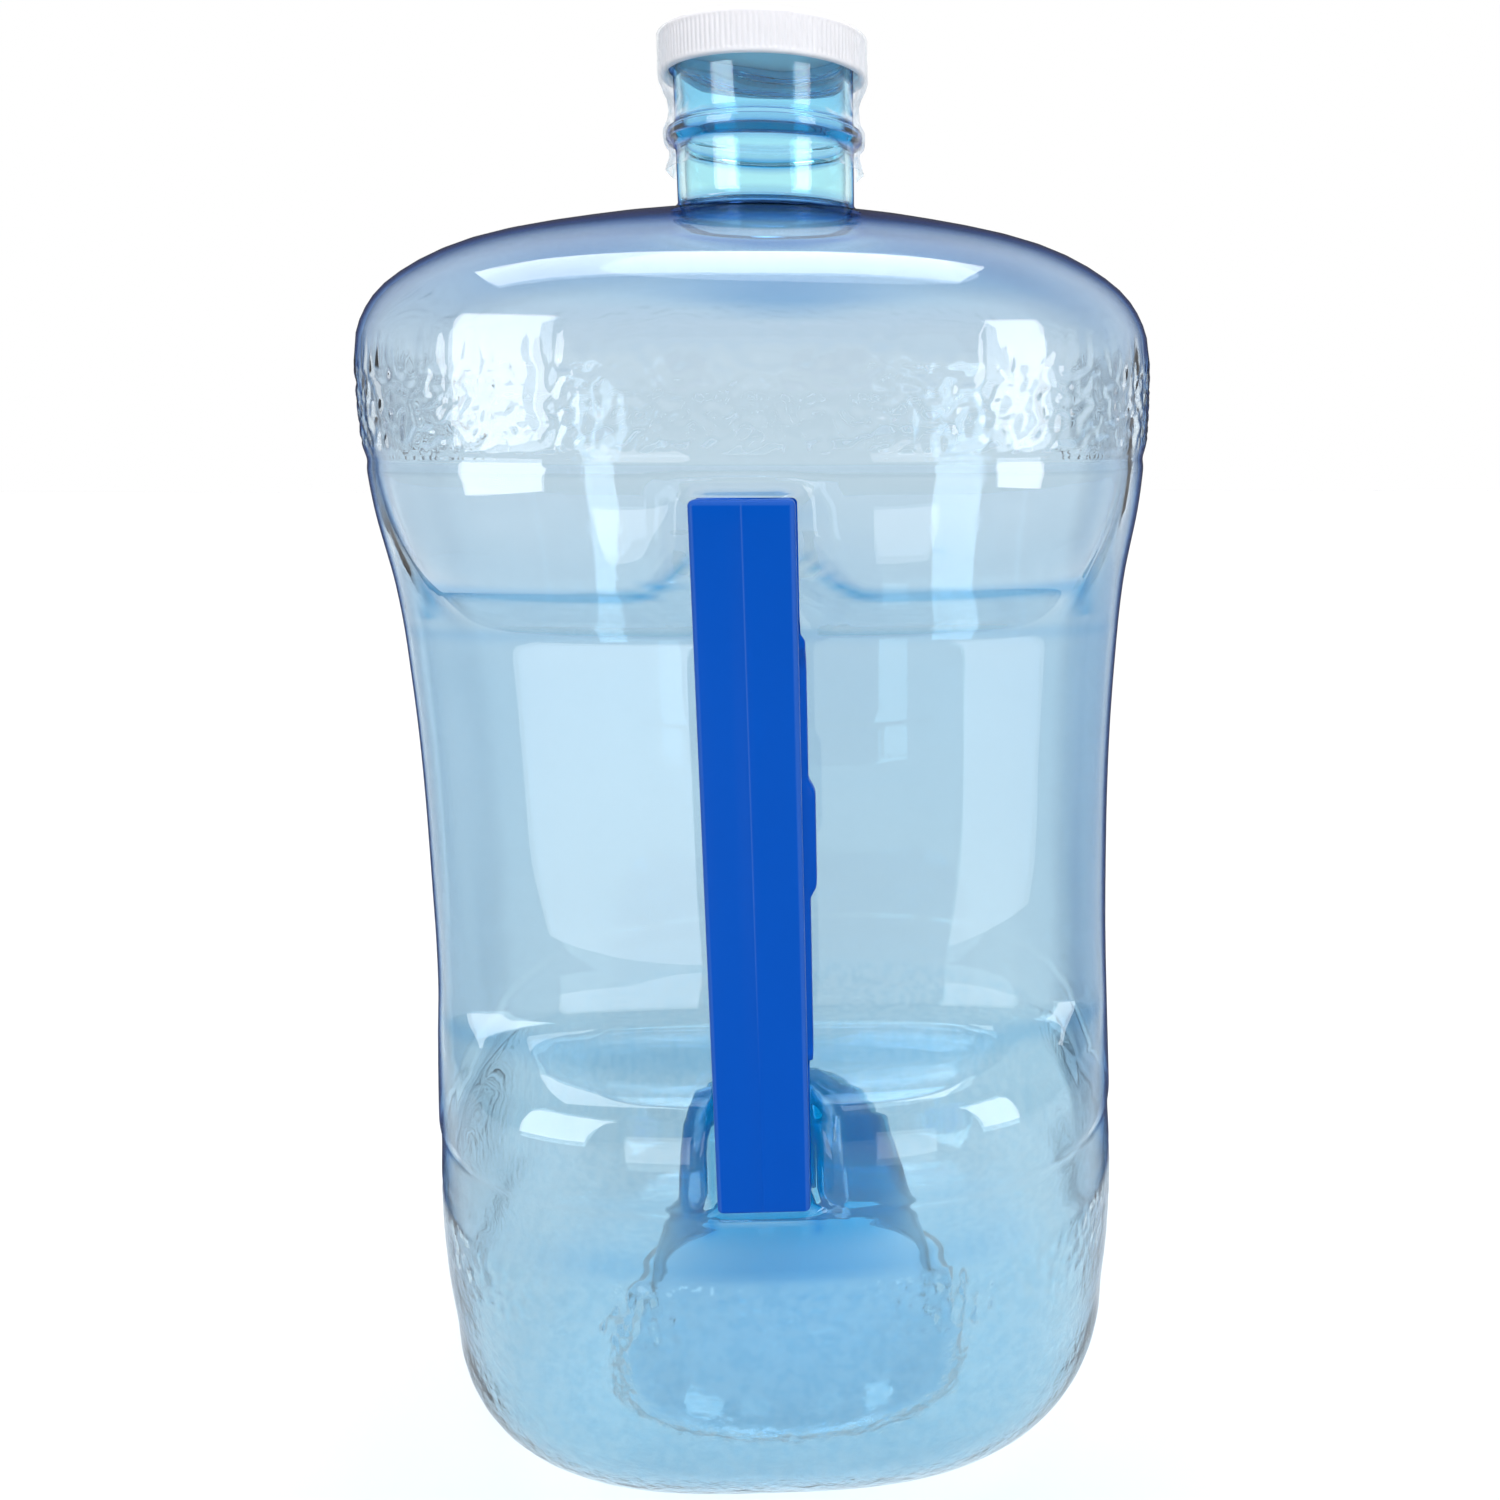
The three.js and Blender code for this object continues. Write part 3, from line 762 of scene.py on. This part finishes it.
def ramp_between(tree, source, stops):
    """A colour ramp over source, from (position, colour) stops given in the source's own units."""
    low, high = stops[0][0], stops[-1][0]
    ramp = add(tree, "ShaderNodeValToRGB", {"Fac": map_range(tree, source, (low, high))})
    elements = ramp.color_ramp.elements
    while len(elements) < len(stops):
        elements.new(0.5)
    for element, (position, colour) in zip(elements, stops):
        element.position = (position - low) / (high - low)
        element.color = (*colour, 1)
    return ramp.outputs["Color"]


def noise(tree, vector, scale, detail=3.0, rough=0.5):
    inputs = {"Vector": vector, "Scale": scale, "Detail": detail, "Roughness": rough}
    return add(tree, "ShaderNodeTexNoise", inputs).outputs["Fac"]


def bumped(tree, height, strength, distance):
    """A normal bent by the slope of height, which is distance metres high."""
    inputs = {"Height": height, "Strength": strength, "Distance": distance}
    return add(tree, "ShaderNodeBump", inputs).outputs["Normal"]


def facing_away(tree, **inputs):
    """0 where the surface faces the eye, towards 1 where it turns away: for the glass's edges and sheen."""
    return add(tree, "ShaderNodeLayerWeight", {"Blend": 0.5, **inputs}).outputs["Facing"]


def let_light_through(tree, surface, shade):
    """The surface, except that shadow rays pass straight through it in the shade's colour."""
    shadow_ray = add(tree, "ShaderNodeLightPath").outputs["Is Shadow Ray"]
    return mix_shaders(tree, shadow_ray, surface, transparent(tree, shade))


# ---- the bottle's material ----
HEIGHT_COLOURS = [
    (0.0, (0.59, 0.74, 0.80)), (0.05, (0.60, 0.75, 0.81)), (0.10, (0.63, 0.76, 0.815)),
    (0.16, (0.61, 0.755, 0.83)), (0.24, (0.61, 0.76, 0.845)), (0.27, (0.66, 0.78, 0.85)),
    (0.30, (0.73, 0.83, 0.89)), (0.325, (0.76, 0.85, 0.91)), (0.345, (0.68, 0.80, 0.90)),
    (0.36, (0.58, 0.82, 0.95)), (0.367, (0.69, 0.97, 1.0)), (0.386, (0.69, 0.97, 1.0)),
    (0.390, (0.50, 0.86, 1.0)), (0.41, (0.46, 0.84, 1.0))]
DEEP_COLOURS = [
    (0.0, (0.0, 0.40, 0.68)), (0.34, (0.0, 0.38, 0.72)), (0.36, (0.0, 0.19, 0.62)), (0.41, (0.0, 0.19, 0.62))]
# Painted shade: darker blues towards the silhouettes, over the deeper blue of the longer path through the
# wall.
EDGE_SHADE_COLOURS = [
    (0.0, (1.0, 1.0, 1.0)), (0.35, (0.98, 0.98, 0.99)), (0.6, (0.88, 0.92, 0.955)),
    (0.75, (0.71, 0.80, 0.89)), (0.84, (0.42, 0.55, 0.74)), (0.90, (0.10, 0.17, 0.36)),
    (1.0, (0.01, 0.03, 0.12))]
FROST_COLOUR = (0.27, 0.56, 0.71)
SHADOW_COLOUR = (0.93, 0.95, 0.97)
BOTTLE_IOR, POLISHED, MATTE, GRAIN_SHARE = 1.44, 0.03, 0.07, 5.0
ORANGE_PEEL, CLOUDS, GRAIN, FLECKS = 28, 60, 190, 330
STEEP_WALL, SHOULDER_RISES, FROSTED_EDGES_LOSE = (0.65, 0.2), (0.300, 0.325), 0.6
RIM_RISES, RIM_STRENGTH = (0.62, 0.86), 0.92


def bottle_blue(tree, z):
    """The plastic's colour by height, deeper where the stored depth says so."""
    return mix(tree, attribute(tree, "depth"), ramp_between(tree, z, HEIGHT_COLOURS),
               ramp_between(tree, z, DEEP_COLOURS))


def edge_share(tree, z, frosted):
    """How much of the edge tint shows: on steep walls and the shoulder, less where it is frosted."""
    normal = add(tree, "ShaderNodeNewGeometry").outputs["Normal"]
    up = maths(tree, "ABSOLUTE", add(tree, "ShaderNodeSeparateXYZ", {0: normal}).outputs["Z"])
    steep = map_range(tree, up, STEEP_WALL, easing="SMOOTHSTEP")
    on_shoulder = map_range(tree, z, SHOULDER_RISES, easing="SMOOTHSTEP")
    clear_part = maths(tree, "SUBTRACT", 1.0, maths(tree, "MULTIPLY", frosted, FROSTED_EDGES_LOSE))
    turned_away = maths(tree, "MULTIPLY", maths(tree, "MAXIMUM", steep, on_shoulder), clear_part)
    return maths(tree, "MULTIPLY", turned_away, attribute(tree, "edge"))


def frost_mottle(tree, vector, frosted, colour):
    """The colour, with the frosting's small darker flecks."""
    flecks = map_range(tree, noise(tree, vector, FLECKS, rough=0.6), (0.40, 0.56), (0.42, 0.0))
    return mix(tree, maths(tree, "MULTIPLY", flecks, frosted), colour, FROST_COLOUR)


def bottle_roughness(tree, vector, frosted):
    """Nearly polished with faint clouds, and a little matter where it is frosted."""
    cloud = noise(tree, vector, CLOUDS)
    polished = maths(tree, "MULTIPLY", cloud, POLISHED)
    matte = maths(tree, "MULTIPLY", maths(tree, "ADD", cloud, 0.4), MATTE)
    return mix(tree, frosted, polished, matte, kind="FLOAT")


def bottle_relief(tree, vector, frosted):
    """Slow waves as on orange peel, and the frosting's grain."""
    orange_peel = noise(tree, vector, ORANGE_PEEL, detail=1.0)
    grain = maths(tree, "MULTIPLY", noise(tree, vector, GRAIN, rough=0.6), frosted)
    relief = maths(tree, "ADD", orange_peel, maths(tree, "MULTIPLY", grain, GRAIN_SHARE))
    return bumped(tree, relief, strength=0.08, distance=0.0006)


def bottle_material():
    """Clear blue plastic whose edges darken: partly a tinted wall's deeper blue, partly painted shade for
    dark reflections.
    """
    material, tree, shader, surface = new_material("clear_blue_moulding")
    vector, z = coordinates(tree)
    frosted = attribute(tree, "frost")
    facing = facing_away(tree)
    edged = edge_share(tree, z, frosted)
    # Painted shade at the edges, multiplied over the plastic's blue.
    painted_edge_shade = ramp_between(tree, facing, EDGE_SHADE_COLOURS)
    tinted = mix(tree, edged, bottle_blue(tree, z), painted_edge_shade, blend="MULTIPLY")
    feed(tree, shader.inputs["Base Color"], frost_mottle(tree, vector, frosted, tinted))
    feed(tree, shader.inputs["Roughness"], bottle_roughness(tree, vector, frosted))
    feed(tree, shader.inputs["Normal"], bottle_relief(tree, vector, frosted))
    shader.inputs["Transmission Weight"].default_value = 1.0
    shader.inputs["IOR"].default_value = BOTTLE_IOR

    # Painted shade: near the silhouettes a dark tinted see-through layer takes the place of the glass and its
    # reflections.
    rim = map_range(tree, facing, RIM_RISES, (0.0, RIM_STRENGTH), easing="SMOOTHSTEP")
    rim_share = maths(tree, "MULTIPLY", rim, edged)
    painted_dark_rim = mix_shaders(tree, rim_share, shader.outputs["BSDF"], transparent(tree, tinted))
    feed(tree, surface, let_light_through(tree, painted_dark_rim, SHADOW_COLOUR))
    return material


# ---- the other materials ----
def plastic_material(name, colour, darker, roughness, grain, relief, specular=0.12, glow=0.0):
    """Moulded plastic or foam: a faint cloud of two colours, and grain in its gloss and its relief.

    Points whose "edge" value is above 0 are lighter, a painted highlight. glow is the share of light let
    through.
    """
    material, tree, shader, surface = new_material(name)
    vector, _ = coordinates(tree)
    cloud = mix(tree, noise(tree, vector, 35, detail=4.0), darker, colour)
    fine = noise(tree, vector, grain, detail=4.0, rough=0.6)
    # Painted highlight: lighter colour where the "edge" value is above 0.
    painted_highlight_colour = tuple(0.045 + 0.4 * c**0.75 + 0.45 * c for c in colour)
    feed(tree, shader.inputs["Base Color"], mix(tree, attribute(tree, "edge"), cloud, painted_highlight_colour))
    feed(tree, shader.inputs["Roughness"], map_range(tree, fine, onto=(roughness - 0.06, roughness + 0.08)))
    feed(tree, shader.inputs["Normal"], bumped(tree, fine, strength=0.3, distance=relief))
    shader.inputs["Specular IOR Level"].default_value = specular
    if glow:
        through = add(tree, "ShaderNodeBsdfTranslucent", {"Color": cloud}).outputs["BSDF"]
        feed(tree, surface, mix_shaders(tree, glow, shader.outputs["BSDF"], through))
    return material


def film_material():
    """Thin clear film: see-through, with a sheen that grows towards its edges and folds."""
    material, tree, shader, surface = new_material("shrink_film")
    vector, _ = coordinates(tree)
    crinkled = bumped(tree, noise(tree, vector, 260, detail=2.0), strength=0.4, distance=0.0003)
    shader.inputs["Base Color"].default_value = (0.80, 0.84, 0.88, 1)
    shader.inputs["Specular IOR Level"].default_value = 0.6
    feed(tree, shader.inputs["Roughness"], map_range(tree, noise(tree, vector, 90), onto=(0.05, 0.22)))
    feed(tree, shader.inputs["Normal"], crinkled)
    facing = facing_away(tree, Normal=crinkled)
    sheen = map_range(tree, facing, (0.45, 1.0), (0.02, 0.55), easing="SMOOTHSTEP")
    clear = (0.99, 0.995, 1.0)
    skin = mix_shaders(tree, sheen, transparent(tree, clear), shader.outputs["BSDF"])
    feed(tree, surface, let_light_through(tree, skin, clear))
    return material


BLUE_MOULDING = {"colour": (0.0002, 0.069, 0.41), "darker": (0.0002, 0.063, 0.375), "roughness": 0.3,
                 "grain": 900, "relief": 0.00008, "specular": 0.035}
WHITE_MOULDING = {"colour": (0.945, 0.912, 0.905), "darker": (0.90, 0.865, 0.86), "roughness": 0.5,
                  "grain": 700, "relief": 0.00008, "specular": 0.05, "glow": 0.2}
LINER_FOAM = {"colour": (0.82, 0.82, 0.8), "darker": (0.7, 0.7, 0.68), "roughness": 0.85,
              "grain": 1600, "relief": 0.0003}


# ---- camera, light and floor ----
CAMERA_AT = (25.1, -389.9, 303.6)
CAMERA_TILT, CAMERA_TURN = 13.0, -2.4
CAMERA_LENS, CAMERA_SHIFT = 30.4, (-0.107, -0.019)
LAMP_AIM = (0, 0, 0.2)
# name, place, what it faces, width and height, brightness
REFLECTED_LAMPS = [
    ("left_window", (-0.85, -0.72, 0.5), LAMP_AIM, (0.6, 0.9), 6.5),
    ("right_window", (0.95, -0.7, 0.5), LAMP_AIM, (0.42, 0.9), 6.5),
    ("left_card", (-0.127, -0.42, 0.097), (-0.127, 0, 0.097), (0.118, 0.194), 2.6),
    ("right_card", (0.15, -0.42, 0.097), (0.15, 0, 0.097), (0.118, 0.194), 2.0),
    ("ceiling_card", (-0.3, 0.3, 2.2), (-0.3, 0.3, 0), (2.1, 0.95), 3.8)]
BEHIND_CAMERA, OVER_FLOOR, WHITE = (0.36, 0.38, 0.42), (0.7, 0.72, 0.75), (1.0, 1.0, 1.0)
SKY_COLOURS = [(-1.0, BEHIND_CAMERA), (-0.2, BEHIND_CAMERA), (0.35, OVER_FLOOR), (0.75, WHITE), (1.0, WHITE)]
FLOOR_HALF, FLOOR_COLOUR = 6, (0.74, 0.74, 0.745)


def make_camera():
    """The photograph's view: close, a little above the groove, and to the handle's right."""
    data = bpy.data.cameras.new("camera")
    data.sensor_width = 36
    data.lens = CAMERA_LENS
    data.shift_x, data.shift_y = CAMERA_SHIFT
    data.clip_start = 0.01
    camera = bpy.data.objects.new("camera", data)
    camera.location = place([CAMERA_AT])[0]
    camera.rotation_euler = (math.pi / 2 - math.radians(CAMERA_TILT), 0, math.radians(CAMERA_TURN))
    bpy.context.scene.collection.objects.link(camera)
    bpy.context.scene.camera = camera


def reflected_lamp(name, location, target, size, radiance):
    """A rectangle that shows only in the gloss and through the plastic, with the given radiance."""
    data = bpy.data.lights.new(name, "AREA")
    data.shape = "RECTANGLE"
    data.size, data.size_y = size
    data.energy = radiance * math.pi * size[0] * size[1]
    lamp = bpy.data.objects.new(name, data)
    lamp.location = location
    aim = Vector(target) - Vector(location)
    lamp.rotation_euler = aim.to_track_quat("-Z", "Y").to_euler()
    lamp.visible_camera = False
    lamp.visible_diffuse = False
    bpy.context.scene.collection.objects.link(lamp)


def sun_light(name, strength, spread, tilt):
    """A soft sun without a reflection, tilted from straight down by degrees round each axis."""
    data = bpy.data.lights.new(name, "SUN")
    data.energy = strength
    data.angle = math.radians(spread)
    lamp = bpy.data.objects.new(name, data)
    lamp.rotation_euler = [math.radians(degrees) for degrees in tilt]
    lamp.visible_glossy = False
    bpy.context.scene.collection.objects.link(lamp)
    return lamp


def make_sky():
    """Bright behind the jug, darker behind the camera."""
    world = bpy.data.worlds.new("studio")
    world.use_nodes = True
    tree = world.node_tree
    direction = add(tree, "ShaderNodeTexCoord").outputs["Generated"]
    towards_back = add(tree, "ShaderNodeSeparateXYZ", {0: direction}).outputs["Y"]
    background = tree.nodes["Background"]
    feed(tree, background.inputs["Color"], ramp_between(tree, towards_back, SKY_COLOURS))
    background.inputs["Strength"].default_value = 1.0
    bpy.context.scene.world = world


def make_floor():
    """A plain pale floor."""
    mesh = bpy.data.meshes.new("floor")
    corners = [(-FLOOR_HALF, -FLOOR_HALF, 0), (FLOOR_HALF, -FLOOR_HALF, 0),
               (FLOOR_HALF, FLOOR_HALF, 0), (-FLOOR_HALF, FLOOR_HALF, 0)]
    mesh.from_pydata(corners, [], [(0, 1, 2, 3)])
    floor = bpy.data.objects.new("floor", mesh)
    material, _, shader, _ = new_material("pale_floor")
    shader.inputs["Base Color"].default_value = (*FLOOR_COLOUR, 1)
    shader.inputs["Roughness"].default_value = 0.7
    mesh.materials.append(material)
    bpy.context.scene.collection.objects.link(floor)


def make_studio():
    """Lamps that are only reflected, two soft suns, the sky and the floor."""
    for lamp in REFLECTED_LAMPS:
        reflected_lamp(*lamp)
    sun_light("overhead", 1.25, 38, (-8, 3, 0))
    key = sun_light("key", 2.4, 20, (50, 0, 12))
    key.visible_transmission = False
    make_sky()
    make_floor()
    bpy.context.scene.view_settings.view_transform = "Standard"


# ---- the pieces ----
def dress(piece, material, body, slot, *nodes):
    """Give a piece its material, the body it rides and the CAD nodes it replaces. slot is not used."""
    piece.data.materials.append(material)
    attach(piece, body)
    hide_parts(*nodes)


make_camera()
make_studio()

dress(make_bottle(), bottle_material(), "bottle", "bottle", "bottle_body")
dress(make_handle(), plastic_material("blue_moulding", **BLUE_MOULDING), "bottle", "handle", "handle")
dress(make_cap(), plastic_material("white_moulding", **WHITE_MOULDING), "cap", "cap", "screw_cap")
dress(make_liner(), plastic_material("liner_foam", **LINER_FOAM), "liner", "liner", "cap_liner")
dress(make_band(), film_material(), "bottle", "film", "shrink_band")
